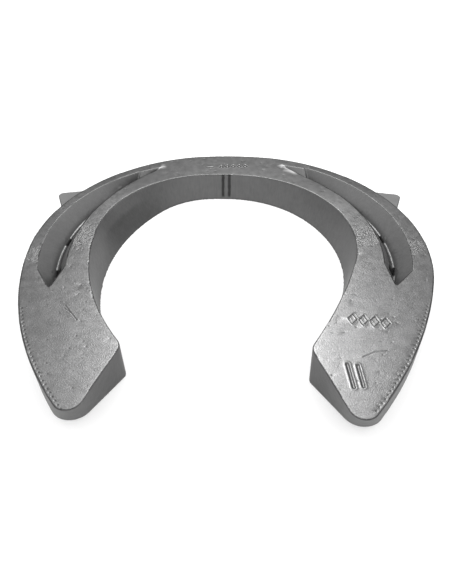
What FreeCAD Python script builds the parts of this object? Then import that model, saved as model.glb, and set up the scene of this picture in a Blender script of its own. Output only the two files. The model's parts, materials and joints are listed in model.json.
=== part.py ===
"""Aluminium front horseshoe with a fuller crease, eight nail holes and two side clips.

The shoe lies on its foot face at z = 0 with its ground face up. +Y points to the toe, +X to the
right branch, and the origin is midway between the toe and the heel tips. Millimetres and degrees.
"""
import FreeCAD, Part
import math
import os

import Sketcher
from FreeCAD import Placement, Rotation, Vector

SIDES = {"right": 1, "left": -1}

# Driving dimensions. Each outline runs from the toe down both branches as a chain of tangent arcs,
# and the arcs of the two faces turn through the same sweeps, so that the walls between them are smooth.
DIMENSIONS = {
    # thickness of the bar, which grows from the toe to the heels
    "toe_thickness": 11.5,
    "heel_thickness": 13.8,
    # outer rim, the same at both faces except near the heel tips, where the foot face is narrower
    "rim_toe_reach": 69.7,
    "right_rim_toe_radius": 140.0,
    "right_rim_toe_sweep": 3.0,
    "right_rim_side_radius": 66.2,
    "right_rim_side_sweep": 101.5,
    "right_ground_rim_heel_radius": 152.0,
    "right_foot_rim_heel_radius": 129.0,
    "left_rim_toe_radius": 95.0,
    "left_rim_toe_sweep": 6.7,
    "left_rim_side_radius": 66.8,
    "left_rim_side_sweep": 85.8,
    "left_ground_rim_heel_radius": 114.0,
    "left_foot_rim_heel_radius": 108.0,
    # central opening: sweeps shared by both faces, then the radii of each, a little smaller at the foot
    "right_opening_toe_sweep": 7.4,
    "right_opening_shoulder_sweep": 42.0,
    "right_opening_side_sweep": 57.7,
    "left_opening_toe_sweep": 3.5,
    "left_opening_shoulder_sweep": 46.8,
    "left_opening_side_sweep": 35.2,
    "ground_opening_shift": -2.2,
    "ground_opening_reach": 53.6,
    "right_ground_toe_radius": 71.7,
    "right_ground_shoulder_radius": 43.9,
    "right_ground_side_radius": 44.1,
    "right_ground_heel_radius": 186.0,
    "left_ground_toe_radius": 115.3,
    "left_ground_shoulder_radius": 41.7,
    "left_ground_side_radius": 41.5,
    "left_ground_heel_radius": 85.0,
    "foot_opening_shift": -1.8,
    "foot_opening_reach": 53.2,
    "right_foot_toe_radius": 42.3,
    "right_foot_shoulder_radius": 41.3,
    "right_foot_side_radius": 50.4,
    "right_foot_heel_radius": 310.0,
    "left_foot_toe_radius": 103.7,
    "left_foot_shoulder_radius": 29.0,
    "left_foot_side_radius": 69.5,
    "left_foot_heel_radius": 68.6,
    # heel ends: a slanted end face through a sharp inner corner, then both corners are rounded
    "right_heel_corner": 25.9,
    "left_heel_corner": 30.2,
    "heel_corner_back": 46.0,
    "right_ground_heel_slant": 20.6,
    "left_ground_heel_slant": 18.4,
    "right_foot_heel_slant": 35.0,
    "left_foot_heel_slant": 31.5,
    "ground_tip_rounding": 4.2,
    "foot_tip_rounding": 6.5,
    "ground_corner_rounding": 4.5,
    "foot_corner_rounding": 1.8,
    # fuller crease: outer and inner edge at the ground face, and how far each runs
    "crease_depth": 5.5,
    "right_crease_outer_radius": 60.2,
    "right_crease_outer_across": 3.5,
    "right_crease_outer_along": 6.4,
    "right_crease_inner_radius": 63.7,
    "right_crease_inner_across": -9.7,
    "right_crease_inner_along": 3.3,
    "left_crease_outer_radius": 59.0,
    "left_crease_outer_across": 6.8,
    "left_crease_outer_along": 5.0,
    "left_crease_inner_radius": 75.5,
    "left_crease_inner_across": -19.8,
    "left_crease_inner_along": 1.2,
    "right_crease_toe_outer": 60.1,
    "right_crease_toe_inner": 53.5,
    "right_crease_heel_outer": -7.3,
    "right_crease_heel_inner": -4.3,
    "right_crease_tip_across": 55.3,
    "right_crease_tip_along": -15.4,
    "left_crease_toe_outer": 54.9,
    "left_crease_toe_inner": 50.5,
    "left_crease_heel_outer": -10.5,
    "left_crease_heel_inner": -8.7,
    "left_crease_tip_across": 57.6,
    "left_crease_tip_along": -20.3,
    # shallow run-out of the crease towards the toe
    "run_out_depth": 2.4,
    "right_run_out_tip_across": 21.2,
    "right_run_out_tip_along": 62.2,
    "left_run_out_tip_across": 29.2,
    "left_run_out_tip_along": 59.3,
    # nail holes, counted from the heel
    "nail_hole_width": 2.2,
    "nail_hole_length": 4.2,
    "nail_hole_pitch": 17.5,
    "right_first_nail_hole": -0.5,
    "left_first_nail_hole": -6.0,
    # side clips
    "clip_reach": 12.0,
    "clip_flank_angle": 37.5,
    "clip_rounding": 2.0,
    "clip_root_low": 1.0,
    "clip_root_high": 8.8,
    "clip_tip_low": 4.8,
    "clip_tip_high": 6.6,
    "right_clip_angle": 33.5,
    "left_clip_angle": 31.0,
}
NAIL_HOLES_PER_BRANCH = 4
CLIP_ROOT_DEPTH = 5.0  # how far the clip's blank reaches into the rim before it is trimmed to it
CLIP_TRIM = 3.0  # how far the thinning cuts reach above and below the clip's blank
LEAST_CUT = 1.0  # the least volume, in cubic millimetres, that any cut has to remove
# Where the crease's parts lie, as fractions of its width (from its inner edge) and of its length.
FLOOR_INNER = 0.36
FLOOR_OUTER = 0.46
FLOOR_TOE = 0.04
FLOOR_HEEL = 0.97
FLOOR_TIP = 0.6  # how far the floor reaches into the crease's pointed heel end
NAIL_LINE = 0.34  # the nail holes stand against the steep inner wall
RUN_OUT_START = 0.012
RUN_OUT_MOUTH = (0.04, 0.96)
RUN_OUT_FLOOR = (0.12, 0.4)
RUN_OUT_FLOOR_REACH = 0.72  # how near the run-out's floor comes to its tip


def make_sheet(doc):
    """Put every driving dimension in a cell of its own, with its name as the alias."""
    sheet = doc.addObject("Spreadsheet::Sheet", "Dimensions")
    for row, (name, value) in enumerate(DIMENSIONS.items(), start=1):
        sheet.set(f"A{row}", name)
        sheet.set(f"B{row}", str(value))
        sheet.setAlias(f"B{row}", name)
    doc.recompute()
    return sheet


def bind(sketch, constraint, cell):
    """Add a constraint and drive its value from the sheet's cell."""
    index = sketch.addConstraint(constraint)
    sketch.setExpression(f"Constraints[{index}]", cell)


def new_body(doc, name):
    body = doc.addObject("PartDesign::Body", name)
    body.Label = name
    return body


def new_sketch(body, name, role="XY_Plane"):
    """A sketch lying on one of the body's own origin planes."""
    sketch = body.newObject("Sketcher::SketchObject", name)
    plane = next(f for f in body.Origin.OriginFeatures if f.Role == role)
    sketch.AttachmentSupport = [(plane, "")]
    sketch.MapMode = "FlatFace"
    return sketch


def ground_sketch(body, name, depth_cell=None):
    """A sketch on the sloping ground face, or below it by the depth in a cell."""
    sketch = new_sketch(body, name)
    slope = "atan((Dimensions.heel_thickness - Dimensions.toe_thickness) / (2 * Dimensions.rim_toe_reach))"
    level = "(Dimensions.heel_thickness + Dimensions.toe_thickness) / 2"
    if depth_cell:
        level += f" - Dimensions.{depth_cell}"
    sketch.AttachmentOffset = Placement(Vector(0, 0, 1), Rotation(Vector(-1, 0, 0), 1))
    sketch.setExpression("AttachmentOffset.Base.z", f"1 mm * ({level})")
    sketch.setExpression("AttachmentOffset.Rotation.Angle", slope)
    return sketch


# ---- tangent arcs -------------------------------------------------------------------------

def rim_arcs(side, face):
    names = [f"{side}_rim_toe", f"{side}_rim_side", f"{side}_{face}_rim_heel"]
    return branch_arcs(side, names, names[:-1], Vector(0, DIMENSIONS["rim_toe_reach"]))


def opening_arcs(side, face):
    stretches = ("toe", "shoulder", "side", "heel")
    names = [f"{side}_{face}_{stretch}" for stretch in stretches]
    turns = [f"{side}_opening_{stretch}" for stretch in stretches[:-1]]
    top = Vector(DIMENSIONS[f"{face}_opening_shift"], DIMENSIONS[f"{face}_opening_reach"])
    return branch_arcs(side, names, turns, top)


def branch_arcs(side, names, turns, top):
    """Centres and radii of one branch's tangent arcs, and the sweep where each but the last ends."""
    radii = [DIMENSIONS[f"{name}_radius"] for name in names]
    sweeps = [DIMENSIONS[f"{turn}_sweep"] for turn in turns]
    centre = top - Vector(0, radii[0])
    swept = 0.0
    arcs = []
    for name, radius, sweep in zip(names, radii, sweeps + [None]):
        if arcs:
            centre = centre + outward(side, swept) * (arcs[-1]["radius"] - radius)
        arcs.append({"name": name, "centre": centre, "radius": radius, "from": swept})
        if sweep is not None:
            swept += sweep
            arcs[-1]["to"] = swept
    return arcs


def outward(side, swept):
    """Unit vector at an angle swept from the toe direction down one branch."""
    angle = math.radians(swept)
    return Vector(SIDES[side] * math.sin(angle), math.cos(angle))


def swept_angle(side, vector):
    return math.degrees(math.atan2(SIDES[side] * vector.x, vector.y)) % 360


def rounding_centre(point, along, inward, radius, centre, reach):
    """Centre of a rounding that touches the line through point and lies at reach from centre."""
    start = point + inward * radius - centre
    middle = -start.dot(along)
    return centre + start + along * (middle + math.sqrt(middle**2 - start.dot(start) + reach**2))


def add_arc(sketch, side, centre, radius, start, end):
    """Add an arc between two swept angles and say which of its ends comes first."""
    polar = [math.radians(90 - SIDES[side] * angle) for angle in (start, end)]
    circle = Part.Circle(centre, Vector(0, 0, 1), radius)
    index = sketch.addGeometry(Part.ArcOfCircle(circle, min(polar), max(polar)))
    first, last = (2, 1) if side == "right" else (1, 2)
    return {"index": index, "first": first, "last": last}


def join(sketch, one, one_end, other, other_end):
    """Make two edges meet without a kink."""
    ends = (one["index"], one[one_end], other["index"], other[other_end])
    sketch.addConstraint(Sketcher.Constraint("Tangent", *ends))


def draw_branch(sketch, side, face):
    """Draw one half of the outline: rim, heel tip, end face, inner corner and opening."""
    rim = rim_arcs(side, face)
    opening = opening_arcs(side, face)
    slant = math.radians(DIMENSIONS[f"{side}_{face}_heel_slant"])
    sign = SIDES[side]
    corner = Vector(sign * DIMENSIONS[f"{side}_heel_corner"], -DIMENSIONS["heel_corner_back"])
    along = Vector(sign * math.sin(slant), -math.cos(slant))
    inward = Vector(sign * math.cos(slant), math.sin(slant))
    tip_radius = DIMENSIONS[f"{face}_tip_rounding"]
    corner_radius = DIMENSIONS[f"{face}_corner_rounding"]
    tip = rounding_centre(corner, along, inward, tip_radius, rim[-1]["centre"],
                          rim[-1]["radius"] - tip_radius)
    turn = rounding_centre(corner, along, inward, corner_radius, opening[-1]["centre"],
                           opening[-1]["radius"] + corner_radius)
    rim[-1]["to"] = swept_angle(side, tip - rim[-1]["centre"])
    opening[-1]["to"] = swept_angle(side, turn - opening[-1]["centre"])
    end_face_angle = swept_angle(side, inward * -1)

    edges = {}
    for arc in rim + opening:
        edge = add_arc(sketch, side, arc["centre"], arc["radius"], arc["from"], arc["to"])
        edges[arc["name"]] = edge
        bind(sketch, Sketcher.Constraint("Radius", edge["index"], arc["radius"]),
             f"Dimensions.{arc['name']}_radius")
    edges["tip"] = add_arc(sketch, side, tip, tip_radius, rim[-1]["to"], end_face_angle)
    edges["turn"] = add_arc(sketch, side, turn, corner_radius, end_face_angle,
                            opening[-1]["to"] + 180)
    bind(sketch, Sketcher.Constraint("Radius", edges["tip"]["index"], tip_radius),
         f"Dimensions.{face}_tip_rounding")
    bind(sketch, Sketcher.Constraint("Radius", edges["turn"]["index"], corner_radius),
         f"Dimensions.{face}_corner_rounding")
    end_face = Part.LineSegment(tip - inward * tip_radius, turn - inward * corner_radius)
    edges["end_face"] = {"index": sketch.addGeometry(end_face), "first": 1, "last": 2}

    for chain in (rim, opening):
        for before, after in zip(chain, chain[1:]):
            join(sketch, edges[before["name"]], "last", edges[after["name"]], "first")
    join(sketch, edges[rim[-1]["name"]], "last", edges["tip"], "first")
    join(sketch, edges["tip"], "last", edges["end_face"], "first")
    join(sketch, edges["end_face"], "last", edges["turn"], "first")
    join(sketch, edges["turn"], "last", edges[opening[-1]["name"]], "last")
    return edges[rim[0]["name"]], edges[opening[0]["name"]]


def draw_outline(sketch, face):
    """Draw the whole closed outline of one face and pin its two toe points."""
    rims = {}
    openings = {}
    for side in SIDES:
        rims[side], openings[side] = draw_branch(sketch, side, face)
    for pair in (rims, openings):
        join(sketch, pair["right"], "first", pair["left"], "first")
    pins = ((rims["right"], "rim_toe_reach"), (openings["right"], f"{face}_opening_reach"))
    for edge, cell in pins:
        height = Sketcher.Constraint("DistanceY", -1, 1, edge["index"], edge["first"], DIMENSIONS[cell])
        bind(sketch, height, f"Dimensions.{cell}")


# ---- the bar ------------------------------------------------------------------------------

def loft_between(body, name, kind, sketches):
    """Join two outlines with straight rulings, adding or removing metal."""
    loft = body.newObject(f"PartDesign::{kind}Loft", name)
    loft.Profile = sketches[0]
    loft.Sections = [sketches[1]]
    loft.Ruled = True
    body.Tip = loft
    for sketch in sketches:
        sketch.Visibility = False
    return loft


def forge_bar(body):
    """The bent bar: foot outline below, ground outline above, end faces undercut towards the foot."""
    foot = new_sketch(body, "foot_outline")
    draw_outline(foot, "foot")
    ground = ground_sketch(body, "ground_outline")
    draw_outline(ground, "ground")
    loft_between(body, "bar", "Additive", [foot, ground])


# ---- the crease ---------------------------------------------------------------------------

def crease_circle(side, edge):
    """Centre and radius of the crease's inner or outer edge."""
    name = f"{side}_crease_{edge}"
    centre = Vector(SIDES[side] * DIMENSIONS[f"{name}_across"], DIMENSIONS[f"{name}_along"])
    return centre, DIMENSIONS[f"{name}_radius"]


def crease_edge_point(side, edge, fraction):
    """A point on one edge of the crease, from its toe end (0) to its heel end (1)."""
    centre, radius = crease_circle(side, edge)
    ends = [DIMENSIONS[f"{side}_crease_{end}_{edge}"] for end in ("toe", "heel")]
    angles = [math.acos((along - centre.y) / radius) for along in ends]
    angle = angles[0] + fraction * (angles[1] - angles[0])
    return centre + Vector(SIDES[side] * math.sin(angle), math.cos(angle)) * radius


def crease_point(side, fraction, across):
    """A point in the crease: fraction along it, and across from its inner edge to its outer."""
    inner = crease_edge_point(side, "inner", fraction)
    return inner + (crease_edge_point(side, "outer", fraction) - inner) * across


def crease_tip(side):
    return Vector(SIDES[side] * DIMENSIONS[f"{side}_crease_tip_across"],
                  DIMENSIONS[f"{side}_crease_tip_along"])


def draw_crescent(sketch, side, inner, outer, start, end, tip):
    """Draw a crescent inside the crease: two arcs, a straight toe end and a pointed heel end."""
    middle = (start + end) / 2
    corners = [crease_point(side, fraction, across)
               for fraction, across in ((start, inner), (end, inner), (end, outer), (start, outer))]
    geometry = [
        Part.Arc(corners[0], crease_point(side, middle, inner), corners[1]),
        Part.LineSegment(corners[1], tip),
        Part.LineSegment(tip, corners[2]),
        Part.Arc(corners[2], crease_point(side, middle, outer), corners[3]),
        Part.LineSegment(corners[3], corners[0]),
    ]
    return [sketch.addGeometry(edge) for edge in geometry]


def roll_crease(body, side):
    """The tapered groove: wide at the ground face, a narrow floor near its inner edge."""
    mouth = ground_sketch(body, f"{side}_crease_mouth")
    tip = crease_tip(side)
    edges = draw_crescent(mouth, side, 0.0, 1.0, 0.0, 1.0, tip)
    for index, edge in ((edges[0], "inner"), (edges[3], "outer")):
        cell = f"{side}_crease_{edge}_radius"
        bind(mouth, Sketcher.Constraint("Radius", index, DIMENSIONS[cell]), f"Dimensions.{cell}")
    floor = ground_sketch(body, f"{side}_crease_floor", "crease_depth")
    floor_heel = crease_point(side, FLOOR_HEEL, (FLOOR_INNER + FLOOR_OUTER) / 2)
    floor_tip = floor_heel + (tip - floor_heel) * FLOOR_TIP
    draw_crescent(floor, side, FLOOR_INNER, FLOOR_OUTER, FLOOR_TOE, FLOOR_HEEL, floor_tip)
    loft_between(body, f"{side}_crease", "Subtractive", [mouth, floor])


def draw_polygon(sketch, points):
    for start, end in zip(points, points[1:] + points[:1]):
        sketch.addGeometry(Part.LineSegment(start, end))


def roll_run_out(body, side):
    """The shallow ramp in which the crease fades out towards the toe."""
    tip = Vector(SIDES[side] * DIMENSIONS[f"{side}_run_out_tip_across"],
                 DIMENSIONS[f"{side}_run_out_tip_along"])
    mouth_corners = [crease_point(side, RUN_OUT_START, across) for across in RUN_OUT_MOUTH]
    floor_corners = [crease_point(side, RUN_OUT_START, across) for across in RUN_OUT_FLOOR]
    floor_start = (floor_corners[0] + floor_corners[1]) / 2
    floor_tip = floor_start + (tip - floor_start) * RUN_OUT_FLOOR_REACH
    mouth = ground_sketch(body, f"{side}_run_out_mouth")
    draw_polygon(mouth, mouth_corners + [tip])
    floor = ground_sketch(body, f"{side}_run_out_floor", "run_out_depth")
    draw_polygon(floor, floor_corners + [floor_tip])
    loft_between(body, f"{side}_run_out", "Subtractive", [mouth, floor])


def punch_nail_holes(body, side):
    """Four rectangular holes along the crease floor, punched right through the bar."""
    sketch = ground_sketch(body, f"{side}_nail_holes_outline")
    half_width = DIMENSIONS["nail_hole_width"] / 2
    half_length = DIMENSIONS["nail_hole_length"] / 2
    centre, radius = crease_circle(side, "inner")
    first = DIMENSIONS[f"{side}_first_nail_hole"]
    heel_angle = math.acos((DIMENSIONS[f"{side}_crease_heel_inner"] - centre.y) / radius)
    toe_angle = math.acos((DIMENSIONS[f"{side}_crease_toe_inner"] - centre.y) / radius)
    pitch = DIMENSIONS["nail_hole_pitch"] / radius
    for number in range(NAIL_HOLES_PER_BRANCH):
        angle = math.acos((first - centre.y) / radius) - number * pitch
        fraction = (angle - toe_angle) / (heel_angle - toe_angle)
        middle = crease_point(side, fraction, NAIL_LINE)
        radial = (crease_point(side, fraction, 1.0) - crease_point(side, fraction, 0.0)).normalize()
        tangent = Vector(-radial.y, radial.x)
        corners = [middle + radial * (across_sign * half_width) + tangent * (along_sign * half_length)
                   for across_sign, along_sign in ((-1, -1), (1, -1), (1, 1), (-1, 1))]
        draw_polygon(sketch, corners)
    pocket = body.newObject("PartDesign::Pocket", f"{side}_nail_holes")
    pocket.Profile = sketch
    pocket.Type = "ThroughAll"
    body.Tip = pocket
    sketch.Visibility = False


def make_shoe_body(doc):
    body = new_body(doc, "shoe_body")
    forge_bar(body)
    for side in SIDES:
        roll_crease(body, side)
        roll_run_out(body, side)
        punch_nail_holes(body, side)
    return body


# ---- side clips ---------------------------------------------------------------------------

def make_side_clip(doc, side, shoe_body):
    """A rounded triangular tab drawn out of the rim, thinning to its tip, trimmed to the rim."""
    rim = rim_arcs(side, "ground")[1]
    blank = new_body(doc, f"{side}_clip_blank")
    draw_clip_plan(blank, rim["radius"])
    thin_clip(blank, rim["radius"])
    angle = DIMENSIONS[f"{side}_clip_angle"]
    turned = angle if side == "right" else 180 - angle
    blank.Placement = Placement(rim["centre"], Rotation(Vector(0, 0, 1), turned))
    clip = doc.addObject("Part::Cut", f"{side}_side_clip")
    clip.Base = blank
    clip.Tool = shoe_body
    clip.Label = f"{side}_side_clip"
    return clip


def draw_clip_plan(blank, rim_radius):
    """Pad the clip's outline: a wedge that points outward, with a rounded tip."""
    sketch = new_sketch(blank, "clip_plan")
    sketch.AttachmentOffset = Placement(Vector(0, 0, 1), Rotation())
    sketch.setExpression("AttachmentOffset.Base.z", "1 mm * Dimensions.clip_root_low")
    rounding = DIMENSIONS["clip_rounding"]
    flank_angle = math.radians(DIMENSIONS["clip_flank_angle"])
    apex = rim_radius + DIMENSIONS["clip_reach"]
    root = rim_radius - CLIP_ROOT_DEPTH
    half_root = (apex - root) * math.tan(flank_angle)
    centre = Vector(apex - rounding / math.sin(flank_angle), 0)
    upper = centre + Vector(math.sin(flank_angle), math.cos(flank_angle)) * rounding
    lower = Vector(upper.x, -upper.y)
    flanks = [
        Part.LineSegment(Vector(root, -half_root), lower),
        Part.LineSegment(upper, Vector(root, half_root)),
        Part.LineSegment(Vector(root, half_root), Vector(root, -half_root)),
    ]
    for flank in flanks:
        sketch.addGeometry(flank)
    circle = Part.Circle(centre, Vector(0, 0, 1), rounding)
    half_turn = math.pi / 2 - flank_angle
    tip = sketch.addGeometry(Part.ArcOfCircle(circle, -half_turn, half_turn))
    bind(sketch, Sketcher.Constraint("Radius", tip, rounding), "Dimensions.clip_rounding")
    pad = blank.newObject("PartDesign::Pad", "clip_slab")
    pad.Profile = sketch
    pad.Length = 1
    pad.setExpression("Length", "1 mm * (Dimensions.clip_root_high - Dimensions.clip_root_low)")
    blank.Tip = pad
    sketch.Visibility = False


def thin_clip(blank, rim_radius):
    """Cut the slab's top and underside so that it thins from its root to its tip."""
    root = rim_radius - CLIP_ROOT_DEPTH
    tip = rim_radius + DIMENSIONS["clip_reach"]
    for face, clear in (("high", CLIP_TRIM), ("low", -CLIP_TRIM)):
        sketch = new_sketch(blank, f"clip_{face}_profile", "XZ_Plane")
        root_level = DIMENSIONS[f"clip_root_{face}"]
        tip_level = DIMENSIONS[f"clip_tip_{face}"]
        draw_polygon(sketch, [
            Vector(rim_radius, root_level),
            Vector(tip, tip_level),
            Vector(tip, root_level + clear),
            Vector(root, root_level + clear),
            Vector(root, root_level),
        ])
        pocket = blank.newObject("PartDesign::Pocket", f"clip_{face}_face")
        pocket.Profile = sketch
        pocket.Type = "ThroughAll"
        pocket.Midplane = True
        blank.Tip = pocket
        sketch.Visibility = False


# ---- the document -------------------------------------------------------------------------

def check_document(doc, parts):
    """Stop if a feature failed, if a cut removes nothing, or if a part isn't one valid solid."""
    for item in doc.Objects:
        if {"Invalid", "Error"} & set(item.State):
            raise RuntimeError(f"{item.Name} failed: {item.State}")
        if item.TypeId in ("PartDesign::SubtractiveLoft", "PartDesign::Pocket"):
            removed = item.BaseFeature.Shape.Volume - item.Shape.Volume
            if removed < LEAST_CUT:
                raise RuntimeError(f"{item.Name} removes only {removed:.2f} mm3")
    for part in parts:
        shape = part.Shape
        if shape.isNull() or not shape.isValid() or len(shape.Solids) != 1:
            raise RuntimeError(f"{part.Label} isn't one valid solid")


def main():
    doc = FreeCAD.newDocument("horseshoe")
    make_sheet(doc)
    shoe_body = make_shoe_body(doc)
    doc.recompute()
    parts = [shoe_body]
    for side in SIDES:
        parts.append(make_side_clip(doc, side, shoe_body))
    doc.recompute()
    check_document(doc, parts)
    os.makedirs("parts", exist_ok=True)
    for part in parts:
        part.Shape.exportStep(f"parts/{part.Label}.step")
        box = part.Shape.BoundBox
        print(part.Label, "volume", round(part.Shape.Volume, 1), "mm3, box",
              [round(value, 2) for value in (box.XMin, box.YMin, box.ZMin, box.XMax, box.YMax, box.ZMax)])


main()
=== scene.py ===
"""Looks of a forged aluminium horseshoe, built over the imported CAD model.

The CAD bodies are remeshed, their edges are softened, and then the marks of forging, punching and
handling are pressed into the metal. Everything is in metres in the CAD model's frame, except the
plan positions and sizes of marks, which are in mm.
"""

import json
import math

import bpy
import numpy as np
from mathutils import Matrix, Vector


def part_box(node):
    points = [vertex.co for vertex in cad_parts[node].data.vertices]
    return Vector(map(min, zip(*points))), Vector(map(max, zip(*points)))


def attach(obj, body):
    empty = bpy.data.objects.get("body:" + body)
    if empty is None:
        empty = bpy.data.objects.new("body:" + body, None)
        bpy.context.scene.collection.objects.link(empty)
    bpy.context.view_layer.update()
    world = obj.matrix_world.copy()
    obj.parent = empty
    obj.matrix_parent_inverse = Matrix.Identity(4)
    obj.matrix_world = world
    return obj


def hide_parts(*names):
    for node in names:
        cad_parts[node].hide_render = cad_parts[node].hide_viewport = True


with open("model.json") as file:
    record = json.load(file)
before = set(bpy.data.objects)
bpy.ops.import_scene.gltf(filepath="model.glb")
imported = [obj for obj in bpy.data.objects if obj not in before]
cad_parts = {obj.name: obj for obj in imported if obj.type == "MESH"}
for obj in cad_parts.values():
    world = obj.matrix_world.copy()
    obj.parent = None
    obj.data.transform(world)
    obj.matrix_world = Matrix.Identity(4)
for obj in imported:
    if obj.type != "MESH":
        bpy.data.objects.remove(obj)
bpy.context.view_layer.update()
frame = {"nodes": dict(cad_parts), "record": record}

MM = 0.001

# The ground face: its height where y = 0, and how much it rises per unit of -y.
GROUND_LEVEL = 12.65 * MM
GROUND_RISE = 0.0165
# Rim arcs of the two branches, at the clips and towards the heels: (centre, radius), in mm.
RIM_AT_CLIP = {"right": ((3.86, 3.40), 66.2), "left": ((-3.29, 2.71), 66.8)}
RIM_TO_HEEL = {"right": ((-79.2, 24.9), 152.0), "left": ((43.87, 4.77), 114.0)}

# How finely the bodies are remeshed, how often smoothed, and how many triangles they may keep.
BAR_VOXEL = 0.24 * MM
BAR_SMOOTHING = 4
BAR_TRIANGLES = 190000
CLIP_VOXEL = 0.16 * MM
CLIP_SMOOTHING = 6
CLIP_TRIANGLES = 24000
# How far softening sinks a vertex where an edge begins, and where it is fully rounded.
EDGE_SUNK = (0.002 * MM, 0.018 * MM)

CLIP_FLARE = 1.6 * MM  # radius of the fillet between a clip and the rim
CLIP_SUNK = 0.5 * MM  # how far a clip's root is pushed into the rim, so that no seam shows
CLIP_REACH = 12.0 * MM
CLIP_LIFT = 1.4 * MM  # how far a clip's tip curls up

# Marks on the ground face, in mm.
CODE_CENTRE = (44.0, -32.4)
CODE_TILT = -9.0
CODE_PITCH = 3.3
CODE_SIGNS = 4
TALLY = [((35.1, -50.2), (35.9, -58.8)), ((38.0, -50.6), (38.6, -58.4))]
TOE_DASH = ((-10.4, 59.6), (-8.0, 59.8))
TOE_ROW = [(-4.6, 60.2), (-2.1, 60.6), (0.4, 60.9), (2.9, 61.1), (5.4, 61.2)]
SCRATCHES = [
    ((-50.3, -28.3), (-45.1, -34.9)),
    ((-50.2, -29.6), (-47.8, -31.6)),
    ((39.9, -47.5), (43.6, -45.3)),
    ((43.6, -45.3), (47.5, -44.6)),
    ((64.1, 5.6), (67.2, 6.9)),
    ((-66.3, -7.0), (-64.3, -4.4)),
]
RAGGED_EDGE = [(-49.0, 9.3), (-47.9, 0.4), (-46.7, -6.4), (-44.6, -15.9), (-41.4, -25.7)]
# Lines of a painted highlight along the run-outs' edges, in mm.
PAINTED_GLINT_LINES = [[(21.1, 62.4), (23.5, 59.0), (26.2, 55.8)], [(-29.2, 59.5), (-31.4, 56.8)]]
# Punch dots along the outer edge: their pitch, their distance from it, and the rows' ends in y.
DOT_PITCH = 1.6
DOT_INSET = 1.15
DOT_ROWS = {"right": (-25.0, -66.5), "left": (-30.0, -68.5)}
# Small pits: (centre, radius of the field, number), over the whole face and then where it is worn.
WHOLE_FACE = ((0, 0), 75, 750)
WORN_FIELDS = [
    ((-52, 9), 9, 70),
    ((-66, -2), 7, 30),
    ((50, 12), 8, 60),
    ((65, 6), 6, 20),
]
TOE_GROOVES = (-3.65, -1.05)  # x of the two upright grooves in the inner wall at the toe

# How strongly each thing lightens the metal or, below 0, darkens it.
MOTTLE = 0.03
PATCHES = 0.07
GRAIN = 0.06
COARSE_GRAIN = 0.035
SPECKS = -0.2
# Painted sparkle: bright flecks in the colour.
PAINTED_SPARKLE = 0.22
# Painted shade in hollows, at crease bottoms, along the foot edge and on the heel walls.
PAINTED_SHADE_STRENGTH = -0.7
# Painted shade on the rounded edges of flat faces.
EDGE_PAINTED_SHADE = -0.8
# Painted highlight on the run-outs.
PAINTED_HIGHLIGHT_STRENGTH = 3.0
# Painted light falloff: flat faces lighter on the branches and darker at the toe.
BRANCH_PAINTED_LIGHT = 0.11
# Painted light on sloping faces, such as the crease walls.
SLOPE_PAINTED_LIGHT = 0.45
BUMP_DEPTH = 0.06 * MM
STREAK_STRETCH = (1.0, 1.0, 0.12)

# Brightness of the studio's sky overhead, low down, and low down behind the toe.
OVERHEAD = 1.12
SURROUNDINGS = 0.8
BACKDROP = 0.25
FLOOR_GAP = 0.05 * MM  # keeps the floor clear of the foot face in views from below
KEY_PLACE = (0.0, 0.290, 0.377)
KEY_SIZE = 0.06
KEY_POWER = 1.35
CAMERA_PLACE = (4.49 * MM, -163.7 * MM, 141.8 * MM)
CAMERA_AIM = (-0.0237, 0.7434, -0.6684)
LENS = 37.0


# ---- helpers ------------------------------------------------------------------------------

class ValueNoise:
    """Smooth random field between -1 and 1, the same every run."""

    SIZE = 64

    def __init__(self, seed):
        self.lattice = np.random.default_rng(seed).uniform(-1.0, 1.0, (self.SIZE,) * 3)

    def at(self, points, scale):
        """The field at an array of points, with features about one scale long."""
        cell = points / scale
        corner = np.floor(cell).astype(int)
        part = cell - corner
        part = part * part * (3 - 2 * part)
        total = np.zeros(len(points))
        for step in np.ndindex(2, 2, 2):
            index = (corner + step) % self.SIZE
            weight = np.prod(np.where(step, part, 1 - part), axis=1)
            total += weight * self.lattice[index[:, 0], index[:, 1], index[:, 2]]
        return total


def smooth_step(value, low, high):
    """0 below low, 1 above high, and a smooth rise between them."""
    share = np.clip((value - low) / (high - low), 0, 1)
    return share * share * (3 - 2 * share)


def in_metres(*values):
    """Numbers and points given in mm, as metres."""
    return [np.asarray(value) * MM for value in values]


def rotated(point, degrees):
    """A plan point turned about the origin."""
    angle = math.radians(degrees)
    return (point[0] * math.cos(angle) - point[1] * math.sin(angle),
            point[0] * math.sin(angle) + point[1] * math.cos(angle))


def segment_distance(plan, start, end):
    """Distance of plan points from a straight segment."""
    along = end - start
    away = plan - start
    share = np.clip(away @ along / (along @ along), 0, 1)
    return np.linalg.norm(away - share[:, None] * along, axis=1)


def groove(distance, width, depth, lip):
    """Profile across a pressed stroke: a rounded groove with a slight lip pushed up beside it."""
    hollow = -depth * np.clip(1 - (2 * distance / width) ** 2, 0, 1) ** 2
    burr = lip * np.exp(-((distance - 0.7 * width) / (0.25 * width)) ** 2)
    return hollow + burr


# ---- meshes -------------------------------------------------------------------------------

def vertex_arrays(mesh):
    """Positions and unit normals of a mesh's vertices."""
    count = len(mesh.vertices)
    points = np.empty(count * 3)
    normals = np.empty(count * 3)
    mesh.vertices.foreach_get("co", points)
    mesh.vertices.foreach_get("normal", normals)
    return points.reshape(-1, 3), normals.reshape(-1, 3)


def apply_modifiers(piece):
    """Replace the piece's mesh by what its modifiers make of it."""
    graph = bpy.context.evaluated_depsgraph_get()
    piece.data = bpy.data.meshes.new_from_object(piece.evaluated_get(graph))
    piece.modifiers.clear()


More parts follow.
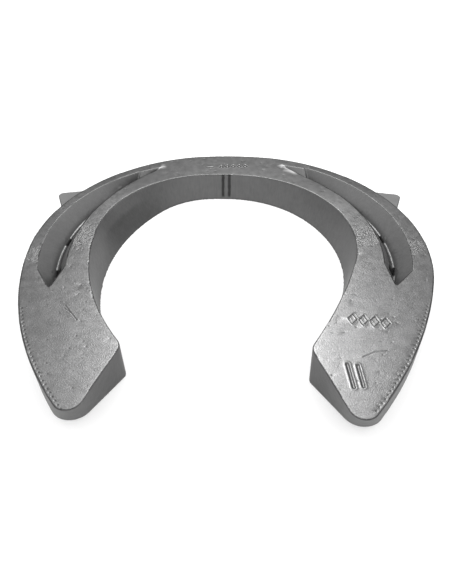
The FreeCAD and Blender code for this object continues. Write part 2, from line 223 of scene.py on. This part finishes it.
def remeshed_copy(node, name, voxel, smoothing):
    """A dense, softened copy of a CAD node's mesh, and how far each of its vertices sank."""
    piece = bpy.data.objects.new(name, node.data.copy())
    bpy.context.scene.collection.objects.link(piece)
    remesh = piece.modifiers.new("remesh", "REMESH")
    remesh.mode = "VOXEL"
    remesh.voxel_size = voxel
    apply_modifiers(piece)
    sharp, _ = vertex_arrays(piece.data)
    smooth = piece.modifiers.new("soften", "SMOOTH")
    smooth.factor = 0.5
    smooth.iterations = smoothing
    apply_modifiers(piece)
    soft, normals = vertex_arrays(piece.data)
    return piece, np.sum((sharp - soft) * normals, axis=1)


def store(piece, name, values):
    """Keep a value per vertex for the material to read."""
    attribute = piece.data.attributes.new(name, "FLOAT", "POINT")
    attribute.data.foreach_set("value", values.astype(np.float32))


def place_vertices(piece, points, node_name):
    """Move the vertices, and hold them inside the box of the CAD node they stand for."""
    low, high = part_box(node_name)
    piece.data.vertices.foreach_set("co", np.clip(points, low, high).ravel())
    piece.data.update()


def thin_out(piece, triangles):
    """Collapse edges where the surface is flat until about this many triangles are left."""
    piece.data.calc_loop_triangles()
    ratio = triangles / len(piece.data.loop_triangles)
    if ratio < 1:
        decimate = piece.modifiers.new("thin_out", "DECIMATE")
        decimate.ratio = ratio
        apply_modifiers(piece)


# ---- marks of the ground face -------------------------------------------------------------

class Patch:
    """The vertices of one face, kept in order of x, with the offset and the painted shade laid on
    them.
    """

    def __init__(self, points, chosen):
        self.order = chosen[np.argsort(points[chosen, 0])]
        self.plan = points[self.order, :2]
        self.offset = np.zeros(len(self.order))
        self.painted_shade = np.zeros(len(self.order))

    def within(self, low, high):
        """Indices of the patch's vertices inside a rectangle of the plan."""
        first, last = np.searchsorted(self.plan[:, 0], (low[0], high[0]))
        y = self.plan[first:last, 1]
        return first + np.flatnonzero((y > low[1]) & (y < high[1]))

    def stroke(self, start, end, width, depth, lip, painted_shade, uneven=None):
        """Press a straight groove; places and sizes in mm. uneven is a strength per vertex."""
        start, end, width, depth, lip = in_metres(start, end, width, depth, lip)
        margin = 1.5 * width
        near = self.within(np.minimum(start, end) - margin, np.maximum(start, end) + margin)
        distance = segment_distance(self.plan[near], start, end)
        strength = 1.0 if uneven is None else uneven[near]
        self.offset[near] += strength * groove(distance, width, depth, lip)
        # painted shade inside the groove
        hollow_shade = strength * painted_shade * (1 - smooth_step(distance, 0.15 * width, 0.6 * width))
        self.painted_shade[near] = np.maximum(self.painted_shade[near], hollow_shade)

    def dimple(self, place, radius, depth, painted_shade):
        """Press a round hollow; place and sizes in mm."""
        place, radius, depth = in_metres(place, radius, depth)
        near = self.within(place - radius, place + radius)
        distance = np.linalg.norm(self.plan[near] - place, axis=1)
        share = np.clip(1 - (distance / radius) ** 2, 0, 1)
        self.offset[near] -= depth * share
        # painted shade inside the hollow
        self.painted_shade[near] = np.maximum(self.painted_shade[near], painted_shade * share)


def lozenge(centre, half_width, half_height, tilt):
    """The four strokes of a small diamond."""
    corners = [(half_width, 0), (0, half_height), (-half_width, 0), (0, -half_height)]
    placed = []
    for corner in corners:
        x, y = rotated(corner, tilt)
        placed.append((centre[0] + x, centre[1] + y))
    return list(zip(placed, placed[1:] + placed[:1]))


def stamped_strokes():
    """Every stroke stamped into the ground face: (start, end, width, depth), in mm."""
    strokes = []
    for number in range(CODE_SIGNS):
        x, y = rotated(((number - (CODE_SIGNS - 1) / 2) * CODE_PITCH, 0), CODE_TILT)
        centre = (CODE_CENTRE[0] + x, CODE_CENTRE[1] + y)
        strokes += [(*ends, 0.55, 0.22) for ends in lozenge(centre, 1.35, 2.3, CODE_TILT)]
    strokes += [(*ends, 1.1, 0.30) for ends in TALLY]
    strokes.append((*TOE_DASH, 0.9, 0.06))
    for centre in TOE_ROW:
        strokes += [(*ends, 0.75, 0.06) for ends in lozenge(centre, 0.8, 1.0, 0)]
    return strokes


def edge_dots():
    """Centres of the row of small punch dots along the outer edge of both heels, in mm."""
    dots = []
    for side, (first, last) in DOT_ROWS.items():
        centre, radius = RIM_TO_HEEL[side]
        radius -= DOT_INSET
        outward = 1 if side == "right" else -1
        start, stop = [math.asin((y - centre[1]) / radius) for y in (first, last)]
        count = int(abs(stop - start) * radius / DOT_PITCH)
        for angle in np.linspace(start, stop, count):
            dots.append((centre[0] + outward * radius * math.cos(angle),
                         centre[1] + radius * math.sin(angle)))
    return dots


def pits():
    """Random small pits: plan position, radius and depth, in mm."""
    random = np.random.default_rng(7)
    found = []
    for centre, spread, count in [WHOLE_FACE, *WORN_FIELDS]:
        angle = random.uniform(0, 2 * math.pi, count)
        reach = spread * np.sqrt(random.uniform(0, 1, count))
        sizes = random.uniform(0.2, 0.38, count)
        for a, r, size in zip(angle, reach, sizes):
            place = (centre[0] + r * math.cos(a), centre[1] + r * math.sin(a))
            found.append((place, size, 0.2 * size))
    return found


def ground_marks(points, normals, below, noise):
    """Offset and painted shade of all that is stamped, punched or scratched into the ground face.
    """
    patch = Patch(points, np.flatnonzero((normals[:, 2] > 0.6) & (below < 0.9 * MM)))
    for start, end, width, depth in stamped_strokes():
        patch.stroke(start, end, width, depth, lip=0.3 * depth, painted_shade=0.6)
    for start, end in SCRATCHES:
        patch.stroke(start, end, width=0.5, depth=0.08, lip=0.03, painted_shade=0.5)
    for place in edge_dots():
        patch.dimple(place, radius=0.36, depth=0.13, painted_shade=1.0)
    for place, radius, depth in pits():
        patch.dimple(place, radius, depth, painted_shade=0.65)
    nicks = smooth_step(noise.at(points[patch.order], 0.9 * MM), 0.1, 0.5)
    for start, end in zip(RAGGED_EDGE, RAGGED_EDGE[1:]):
        patch.stroke(start, end, width=2.0, depth=0.2, lip=0.0, painted_shade=0.6, uneven=nicks)
    share = smooth_step(normals[patch.order, 2], 0.6, 0.9)
    share *= 1 - smooth_step(below[patch.order], 0.5 * MM, 0.9 * MM)
    offset = np.zeros(len(points))
    painted_shade = np.zeros(len(points))
    offset[patch.order] = patch.offset * share
    painted_shade[patch.order] = patch.painted_shade * share
    return offset, painted_shade


# ---- marks elsewhere on the bar -----------------------------------------------------------

def toe_marks(points, normals, noise):
    """Offset and painted shade of two upright grooves with a rib between them, in the wall at the
    toe.
    """
    wall = smooth_step(-normals[:, 1], 0.5, 0.8) * smooth_step(points[:, 1], 50 * MM, 51 * MM)
    wall *= 1 - smooth_step(points[:, 1], 56 * MM, 57 * MM)
    wall *= smooth_step(points[:, 2], 0.8 * MM, 1.8 * MM)
    uneven = 0.75 + 0.25 * noise.at(points * [1, 1, 0.5], 1.2 * MM)
    wander = 0.12 * MM * noise.at(points, 1.5 * MM)
    offset = np.zeros(len(points))
    painted_shade = np.zeros(len(points))
    for middle in TOE_GROOVES:
        distance = np.abs(points[:, 0] - middle * MM) + wander
        offset += wall * uneven * groove(distance, 1.5 * MM, 0.5 * MM, 0.04 * MM)
        # painted shade inside the grooves
        painted_shade = np.maximum(painted_shade, wall * (1 - smooth_step(distance, 0.3 * MM, 0.75 * MM)))
    return offset, painted_shade


def nail_hole_burrs(points, normals, noise):
    """Offset of the chatter left round the nail holes by the punch."""
    facing = smooth_step(normals[:, 2], 0.2, 0.5)
    rough = noise.at(points, 0.8 * MM)
    offset = np.zeros(len(points))
    for mount in frame["record"]["mounts"]:
        if "nail_hole" not in mount["name"]:
            continue
        x, y, _ = mount["pos_m"]
        distance = np.hypot(points[:, 0] - x, points[:, 1] - y)
        band = np.exp(-((distance - 2.0 * MM) / (0.6 * MM)) ** 2)
        offset += facing * band * rough * 0.10 * MM
    return offset


def painted_glints(points, normals):
    """Where a painted highlight lies along the edge of the crease's run-outs."""
    painted_highlight = np.zeros(len(points))
    near = np.flatnonzero((points[:, 1] > 50 * MM) & (normals[:, 2] > 0.2))
    plan = points[near, :2]
    for chain in PAINTED_GLINT_LINES:
        for start, end in zip(chain, chain[1:]):
            distance = segment_distance(plan, *in_metres(start, end))
            painted_highlight[near] = np.maximum(painted_highlight[near], 1 - smooth_step(distance, 0.3 * MM, 0.8 * MM))
    return painted_highlight


def painted_shade_zones(points, normals, below):
    """Painted shade along the foot edge, at the bottom of the creases and on the walls of the
    heels.
    """
    rise = normals[:, 2]
    foot_edge = 0.6 * (1 - smooth_step(points[:, 2], 0.1 * MM, 0.8 * MM)) * (rise > -0.9)
    crease = 0.7 * smooth_step(below, 3.8 * MM, 5.2 * MM) * smooth_step(rise, 0.3, 0.6)
    heel_walls = smooth_step(-points[:, 1], 42 * MM, 52 * MM) * (1 - smooth_step(rise, 0.1, 0.4))
    return np.maximum.reduce([foot_edge, crease, 0.24 * heel_walls])


def coarseness(points):
    """How coarse the skin of the metal is: 0 at the toe, 1 on the branches, 3 where it is worn."""
    coarse = 1 - smooth_step(points[:, 1], 28 * MM, 52 * MM)
    for (x, y), reach, _ in WORN_FIELDS:
        distance = np.hypot(points[:, 0] - x * MM, points[:, 1] - y * MM) / MM
        coarse = np.maximum(coarse, 3 * (1 - smooth_step(distance, 0.4 * reach, reach)))
    return coarse


# ---- the two kinds of piece ---------------------------------------------------------------

def make_bar():
    """The forged bar, with every mark in its surface."""
    node = frame["nodes"]["shoe_body"]
    piece, sunk = remeshed_copy(node, "forged_bar", BAR_VOXEL, BAR_SMOOTHING)
    points, normals = vertex_arrays(piece.data)
    below = GROUND_LEVEL - GROUND_RISE * points[:, 1] - points[:, 2]
    noise = ValueNoise(1)
    offset = 0.008 * MM * noise.at(points, 14 * MM) + 0.003 * MM * noise.at(points, 3 * MM)
    painted_shade = painted_shade_zones(points, normals, below)
    marked = [ground_marks(points, normals, below, noise), toe_marks(points, normals, noise)]
    for pressed, hollow_shade in marked:
        offset += pressed
        painted_shade = np.maximum(painted_shade, hollow_shade)
    offset += nail_hole_burrs(points, normals, noise)
    # Painted shade and a painted highlight, kept per vertex.
    store(piece, "painted_shade", painted_shade)
    store(piece, "edge", smooth_step(sunk, *EDGE_SUNK))
    store(piece, "painted_highlight", painted_glints(points, normals))
    store(piece, "coarse", coarseness(points))
    place_vertices(piece, points + normals * offset[:, None], "shoe_body")
    thin_out(piece, BAR_TRIANGLES)
    return piece


def make_clip(side):
    """A drawn clip, with a fillet where it grows out of the rim, curling up towards its tip."""
    node_name = f"{side}_side_clip"
    node = frame["nodes"][node_name]
    piece, sunk = remeshed_copy(node, f"{side}_drawn_clip", CLIP_VOXEL, CLIP_SMOOTHING)
    points, normals = vertex_arrays(piece.data)
    centre, radius = in_metres(*RIM_AT_CLIP[side])
    plan = points[:, :2] - centre
    distance = np.linalg.norm(plan, axis=1)
    outward = plan / distance[:, None]
    reach = distance - radius
    sideways = normals.copy()
    sideways[:, :2] -= np.sum(normals[:, :2] * outward, axis=1)[:, None] * outward
    # A quarter circle, less a little so that it doesn't turn quite upright at the root.
    near_root = np.clip(1 - reach / CLIP_FLARE, 0, 1)
    fillet = 0.9 * CLIP_FLARE * (1 - np.sqrt(1 - 0.98 * near_root**2))
    hammered = 0.03 * MM * ValueNoise(2).at(points, 3 * MM)
    points = points + sideways * (fillet + hammered)[:, None]
    root = 1 - smooth_step(reach, 0.1 * MM, 0.6 * MM)
    points[:, :2] -= CLIP_SUNK * root[:, None] * outward
    points[:, 2] += CLIP_LIFT * np.clip(reach / CLIP_REACH, 0, 1)
    store(piece, "edge", smooth_step(sunk, *EDGE_SUNK))
    place_vertices(piece, points, node_name)
    thin_out(piece, CLIP_TRIANGLES)
    return piece


# ---- materials ----------------------------------------------------------------------------

class Graph:
    """Builds the node graph of a material or of the world."""

    def __init__(self, tree, shader):
        self.nodes = tree.nodes
        self.links = tree.links
        self.shader = self.nodes[shader]

    def add(self, kind, inputs=None, **settings):
        """A new node, with its settings made and its inputs fed."""
        node = self.nodes.new(kind)
        for name, value in settings.items():
            setattr(node, name, value)
        self.feed(node, inputs or {})
        return node

    def feed(self, node, inputs):
        """Link or set each input, by name or number."""
        for key, value in inputs.items():
            if isinstance(value, bpy.types.NodeSocket):
                self.links.new(value, node.inputs[key])
            else:
                node.inputs[key].default_value = value

    def math(self, operation, first, second=0.0, third=0.0):
        inputs = {0: first, 1: second, 2: third}
        return self.add("ShaderNodeMath", inputs, operation=operation).outputs[0]

    def vector_math(self, operation, inputs):
        return self.add("ShaderNodeVectorMath", inputs, operation=operation).outputs[0]

    def product(self, first, *others):
        for value in others:
            first = self.math("MULTIPLY", first, value)
        return first

    def inverse(self, value):
        """1 - value."""
        return self.math("SUBTRACT", 1.0, value)

    def shaded(self, shade, amount, strength=1.0):
        """shade * (1 + strength * amount)."""
        return self.product(shade, self.math("MULTIPLY_ADD", amount, strength, 1.0))

    def spread(self, value, low, high, to_low=0.0, to_high=1.0):
        """Map low..high to to_low..to_high with a smooth rise."""
        inputs = {"Value": value, "From Min": low, "From Max": high,
                  "To Min": to_low, "To Max": to_high}
        node = self.add("ShaderNodeMapRange", inputs, interpolation_type="SMOOTHSTEP")
        return node.outputs["Result"]

    def swing(self, value, low=0.3, high=0.7):
        """Map low..high to -1..1; the defaults suit noise."""
        return self.spread(value, low, high, -1.0, 1.0)

    def noise(self, place, size, detail=2.0, roughness=0.5):
        inputs = {"Vector": place, "Scale": 1 / size, "Detail": detail, "Roughness": roughness}
        return self.add("ShaderNodeTexNoise", inputs).outputs["Fac"]

    def stored(self, name):
        """A value kept per vertex, or 0 on a mesh that has none."""
        return self.add("ShaderNodeAttribute", attribute_name=name).outputs["Fac"]

    def grey(self, shade):
        return self.add("ShaderNodeCombineColor", {0: shade, 1: shade, 2: shade}).outputs[0]


def new_material(name):
    """A node-based material and the graph that builds it."""
    material = bpy.data.materials.new(name)
    material.use_nodes = True
    return material, Graph(material.node_tree, "Principled BSDF")


class MetalMaps:
    """What the metal's look is mixed from: its facing, values kept per vertex, and noise in mm."""

    def __init__(self, g):
        coords = g.add("ShaderNodeTexCoord")
        place = g.vector_math("SCALE", {0: coords.outputs["Object"], "Scale": 1 / MM})
        upright = g.vector_math("MULTIPLY", {0: place, 1: STREAK_STRETCH})
        self.rise = g.add("ShaderNodeSeparateXYZ", {0: coords.outputs["Normal"]}).outputs["Z"]
        self.face = g.spread(self.rise, 0.80, 0.97)
        self.painted_shade = g.stored("painted_shade")
        self.edge = g.stored("edge")
        self.painted_highlight = g.stored("painted_highlight")
        self.coarse = g.stored("coarse")
        self.coarse_face = g.product(self.face, g.spread(self.coarse, 0.0, 1.0))
        self.mottle = g.noise(place, 9.0, 3.0)
        self.patches = g.noise(place, 2.4, 3.0)
        self.flecks = g.spread(g.noise(place, 0.55, 1.0), 0.60, 0.72)
        self.grain = g.noise(place, 0.35, 3.0, 0.65)
        self.streaks = g.noise(upright, 0.6, 2.0)
        self.specks = g.spread(g.noise(place, 0.8, 2.0), 0.62, 0.70)


def skin_shade(g, maps, shade):
    """The shade after the metal's own blotches, grain, streaks and specks, and painted sparkle in
    flecks.
    """
    patchiness = g.spread(maps.coarse_face, 0.0, 1.0, 0.4, 1.0)
    fine = g.add("ShaderNodeMix", {"Factor": maps.face, "A": maps.streaks, "B": maps.grain})
    fine = g.swing(fine.outputs["Result"], 0.25, 0.75)
    contrast = g.math("MULTIPLY_ADD", g.product(maps.face, maps.coarse), COARSE_GRAIN, GRAIN)
    shade = g.shaded(shade, g.swing(maps.mottle), MOTTLE)
    shade = g.shaded(shade, g.product(g.swing(maps.patches), patchiness), PATCHES)
    shade = g.shaded(shade, g.product(fine, contrast))
    shade = g.shaded(shade, g.product(maps.specks, maps.face, maps.coarse), SPECKS)
    # painted sparkle: bright flecks lighten the colour
    return g.shaded(shade, g.product(maps.flecks, maps.coarse_face), PAINTED_SPARKLE)


def painted_light_and_shade(g, maps, shade, painted_wall_shade):
    """Painted shade on walls, edges, toe and hollows; painted light on branches, slopes and
    run-outs.
    """
    toe_to_branch_light = g.swing(maps.coarse, 0.0, 1.0)
    slope = g.product(g.spread(maps.rise, 0.45, 0.65), g.inverse(maps.face))
    # painted shade in hollows, creases, along the foot edge and on the heel walls
    shade = g.shaded(shade, maps.painted_shade, PAINTED_SHADE_STRENGTH)
    # painted shade on the rounded edges of flat faces
    shade = g.shaded(shade, g.product(maps.edge, maps.face), EDGE_PAINTED_SHADE)
    # painted highlight on the run-outs
    shade = g.shaded(shade, maps.painted_highlight, PAINTED_HIGHLIGHT_STRENGTH)
    # painted light falloff: lighter branches, darker toe
    shade = g.shaded(shade, g.product(maps.face, toe_to_branch_light), BRANCH_PAINTED_LIGHT)
    # painted light on the sloping faces
    shade = g.shaded(shade, g.product(slope, g.inverse(maps.edge)), SLOPE_PAINTED_LIGHT)
    # painted shade on the walls
    return g.product(shade, g.spread(maps.face, 0.0, 1.0, painted_wall_shade, 1.0))


def metal_bump(g, maps):
    """Fine relief: grain on the flat faces, deeper where the skin is coarse, and faint streaks."""
    height = g.math("ADD", g.product(maps.grain, maps.face), g.product(maps.streaks, 0.25))
    depth = g.product(g.math("MULTIPLY_ADD", maps.coarse, 0.8, 0.2), BUMP_DEPTH)
    bump = g.add("ShaderNodeBump", {"Strength": 1.0, "Distance": depth, "Height": height})
    return bump.outputs[0]


def aluminium(name, tone, painted_wall_shade, face_metal):
    """Satin forged aluminium.

    tone is the shade of its flat faces, painted_wall_shade the share of it left on the walls as
    painted shade, and face_metal how metallic the flat faces are.
    """
    material, g = new_material(name)
    maps = MetalMaps(g)
    shade = painted_light_and_shade(g, maps, skin_shade(g, maps, tone), painted_wall_shade)
    roughness = g.spread(maps.patches, 0.3, 0.7, 0.34, 0.38)
    g.feed(g.shader, {
        "Base Color": g.grey(shade),
        "Metallic": g.spread(maps.face, 0.0, 1.0, 0.45, face_metal),
        "Specular Tint": (0.33, 0.33, 0.33, 1.0),
        "Roughness": g.math("MULTIPLY_ADD", maps.flecks, -0.02, roughness),
        "Normal": metal_bump(g, maps),
    })
    return material


def finish_piece(piece, node, material):
    """Give a piece its material, and let it stand for its CAD node."""
    piece.data.materials.clear()
    piece.data.materials.append(material)
    piece.data.shade_smooth()
    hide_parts(node)
    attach(piece, "root")


# ---- studio -------------------------------------------------------------------------------

def make_floor():
    """A plain pale floor that glows a little, so that the shoe's shadow stays faint."""
    bpy.ops.mesh.primitive_plane_add(size=8, location=(0, 0, -FLOOR_GAP))
    floor = bpy.context.object
    floor.name = "floor"
    material, g = new_material("pale_floor")
    clouds = g.noise(g.add("ShaderNodeTexCoord").outputs["Object"], 0.4)
    g.feed(g.shader, {
        "Base Color": g.grey(g.spread(clouds, 0.3, 0.7, 0.88, 0.90)),
        "Roughness": 0.9,
        "Emission Color": (1.0, 1.0, 1.0, 1.0),
        "Emission Strength": 0.1,
    })
    floor.data.materials.append(material)


def make_world():
    """A soft sky, dimmer low down, and dimmest low down behind the toe."""
    world = bpy.data.worlds.new("studio")
    bpy.context.scene.world = world
    world.use_nodes = True
    g = Graph(world.node_tree, "Background")
    direction = g.add("ShaderNodeTexCoord").outputs["Generated"]
    axes = g.add("ShaderNodeSeparateXYZ", {0: direction}).outputs
    low = g.spread(axes["Y"], 0.2, 0.6, SURROUNDINGS, BACKDROP)
    g.feed(g.shader, {
        "Color": (1.0, 1.0, 1.0, 1.0),
        "Strength": g.spread(axes["Z"], 0.25, 0.85, low, OVERHEAD),
    })


def make_key_light():
    """A small square softbox above and beyond the toe, which casts no shadow."""
    data = bpy.data.lights.new("key", "AREA")
    data.shape = "SQUARE"
    data.size = KEY_SIZE
    data.energy = KEY_POWER
    data.use_shadow = False
    lamp = bpy.data.objects.new("key", data)
    lamp.location = KEY_PLACE
    lamp.rotation_mode = "QUATERNION"
    lamp.rotation_quaternion = (-Vector(KEY_PLACE)).to_track_quat("-Z", "Y")
    lamp.visible_camera = False
    bpy.context.scene.collection.objects.link(lamp)


def make_camera():
    """The camera, above and behind the heels, looking at the toe."""
    data = bpy.data.cameras.new("camera")
    data.lens = LENS
    data.clip_start = 0.01
    camera = bpy.data.objects.new("camera", data)
    camera.location = CAMERA_PLACE
    camera.rotation_mode = "QUATERNION"
    camera.rotation_quaternion = Vector(CAMERA_AIM).to_track_quat("-Z", "Y")
    bpy.context.scene.collection.objects.link(camera)
    bpy.context.scene.camera = camera


bar_metal = aluminium("bar_metal", tone=0.16, painted_wall_shade=0.78, face_metal=1.0)
# The clips' metal is the bar's aluminium painted lighter on its flat faces, as painted light.
clip_metal_painted_lighter = aluminium("clip_metal_painted_lighter", tone=0.27, painted_wall_shade=0.50, face_metal=0.5)
finish_piece(make_bar(), "shoe_body", bar_metal)
for side in ("right", "left"):
    finish_piece(make_clip(side), f"{side}_side_clip", clip_metal_painted_lighter)
make_floor()
make_world()
make_key_light()
make_camera()
bpy.context.scene.view_settings.view_transform = "Standard"
